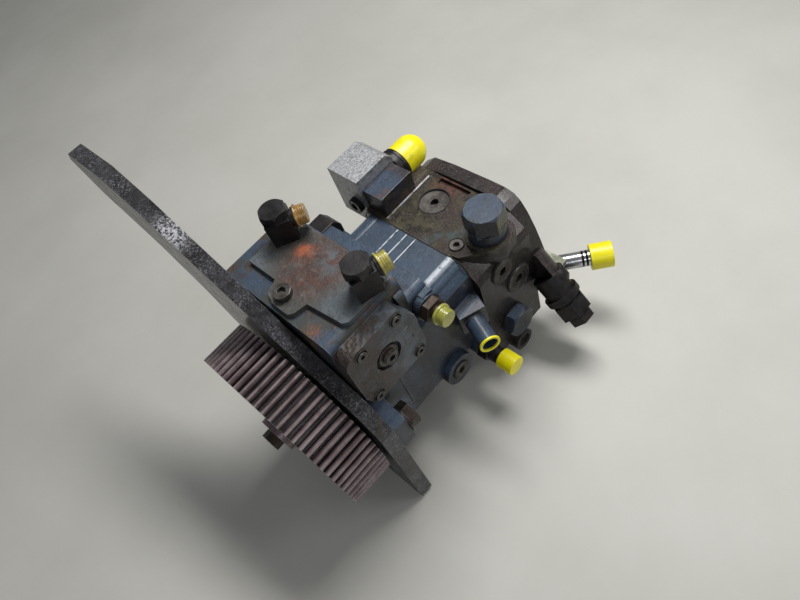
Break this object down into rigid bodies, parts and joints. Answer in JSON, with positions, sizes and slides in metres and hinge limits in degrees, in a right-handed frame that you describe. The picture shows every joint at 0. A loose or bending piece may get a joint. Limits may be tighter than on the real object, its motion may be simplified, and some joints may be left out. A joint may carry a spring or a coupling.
{
  "type": "axial piston pump",
  "caption": "Variable axial piston pump on a flame-cut adapter plate with a wide drive gear, servo covers, charge pump, plugs and capped ports.",
  "frame": {"origin": "drive shaft axis where it crosses the adapter plate's front face", "axes": "+X along the drive shaft from the gear to the charge pump, +Z towards the control cover, -Y towards the near servo cover"},
  "size_m": [0.3969, 0.3872, 0.356],
  "materials": {
    "plate_steel": "flame-cut, dark, oily",
    "blue_paint": "blue-grey enamel, oily",
    "oily_iron": "cast iron under brown oil film",
    "rusty_cover": "rusty brown plate",
    "gear_steel": "oiled gear steel",
    "zinc_steel": "bright plated steel",
    "olive_steel": "yellow-passivated steel",
    "black_steel": "black oxide",
    "grey_steel": "bare steel",
    "ground_steel": "ground and polished",
    "bronze": "bearing bronze",
    "yellow_cap": "bright yellow plastic",
    "green_cap": "yellow-green plastic",
    "amber_cap": "amber plastic",
    "brown_steel": "oily steel",
    "seal_rubber": "black"
  },
  "bodies": {
    "pump_body": {"adapter_plate": "plate_steel", "pump_housing": "blue_paint", "flange_bolts": "black_steel", "flange_washers": "zinc_steel", "control_cover": "rusty_cover", "control_cover_screw": "grey_steel", "near_servo_cover": "oily_iron", "far_servo_cover": "blue_paint", "servo_cover_screws": "black_steel", "stroke_limit_screws": "black_steel", "stroke_limit_nuts": "black_steel", "cradle_bearings": "bronze", "bearing_outer_races": "ground_steel", "valve_plate": "bronze", "port_plate": "oily_iron", "port_plate_screws": "black_steel", "housing_gasket": "seal_rubber", "relief_plugs": "blue_paint", "relief_cartridges": "grey_steel", "socket_plugs": "black_steel", "charge_housing": "oily_iron", "charge_housing_screws": "black_steel", "port_block_a": "blue_paint", "flange_block_a": "zinc_steel", "flange_block_screws": "black_steel", "flange_block_b": "olive_steel", "tube_b": "zinc_steel", "port_caps": "yellow_cap", "port_collar_a": "black_steel", "rear_fitting": "black_steel", "rear_fitting_plug": "black_steel", "drain_fitting": "blue_paint", "drain_ring": "yellow_cap", "low_fitting": "black_steel", "gauge_fitting": "brown_steel", "gauge_cap": "green_cap", "control_elbows": "black_steel", "control_elbow_bolts": "black_steel", "control_caps": "amber_cap", "far_elbow": "black_steel", "shaft_seal": "seal_rubber", "seal_ring": "zinc_steel"},
    "rotating_group": {"drive_gear": "gear_steel", "gear_washer": "grey_steel", "gear_bolt": "black_steel", "drive_shaft": "ground_steel", "bearing_inner_races": "ground_steel", "cylinder_block": "bronze", "pistons": "ground_steel", "slippers": "bronze", "retaining_plate": "grey_steel", "block_spring": "grey_steel", "ball_guide": "grey_steel", "charge_inner_rotor": "ground_steel"},
    "swashplate_body": {"swashplate": "ground_steel"},
    "stroking_piston_body": {"stroking_piston": "ground_steel"},
    "control_spool_body": {"control_spool": "ground_steel"},
    "front_rollers_body": {"front_rollers": "ground_steel"},
    "rear_rollers_body": {"rear_rollers": "ground_steel"},
    "charge_outer_rotor_body": {"charge_outer_rotor": "ground_steel"}
  },
  "joints": [
    {"name": "shaft_spin", "type": "hinge", "parent": "pump_body", "child": "rotating_group", "pos_m": [0, 0, 0], "axis": [1, 0, 0], "continuous": true},
    {"name": "swashplate_tilt", "type": "hinge", "parent": "pump_body", "child": "swashplate_body", "pos_m": [0.09, 0, 0], "axis": [0, 0, 1], "range_deg": [-17, 17]},
    {"name": "stroking_piston_slide", "type": "slide", "parent": "pump_body", "child": "stroking_piston_body", "axis": [0, 1, 0], "range_m": [-0.0104, 0.0104]},
    {"name": "control_spool_slide", "type": "slide", "parent": "pump_body", "child": "control_spool_body", "axis": [0, 1, 0], "range_m": [-0.003, 0.003]},
    {"name": "front_rollers_spin", "type": "hinge", "parent": "pump_body", "child": "front_rollers_body", "pos_m": [0.027, 0, 0], "axis": [1, 0, 0], "continuous": true},
    {"name": "rear_rollers_spin", "type": "hinge", "parent": "pump_body", "child": "rear_rollers_body", "pos_m": [0.1835, 0, 0], "axis": [1, 0, 0], "continuous": true},
    {"name": "charge_outer_rotor_spin", "type": "hinge", "parent": "pump_body", "child": "charge_outer_rotor_body", "pos_m": [0.2513, -0.0026, 0], "axis": [1, 0, 0], "continuous": true}
  ],
  "couplings": [
    {"joint": "stroking_piston_slide", "follows": "swashplate_tilt", "m_per_rad": -0.0347},
    {"joint": "front_rollers_spin", "follows": "shaft_spin", "ratio": 0.44444},
    {"joint": "rear_rollers_spin", "follows": "shaft_spin", "ratio": 0.4359},
    {"joint": "charge_outer_rotor_spin", "follows": "shaft_spin", "ratio": 0.85714}
  ]
}
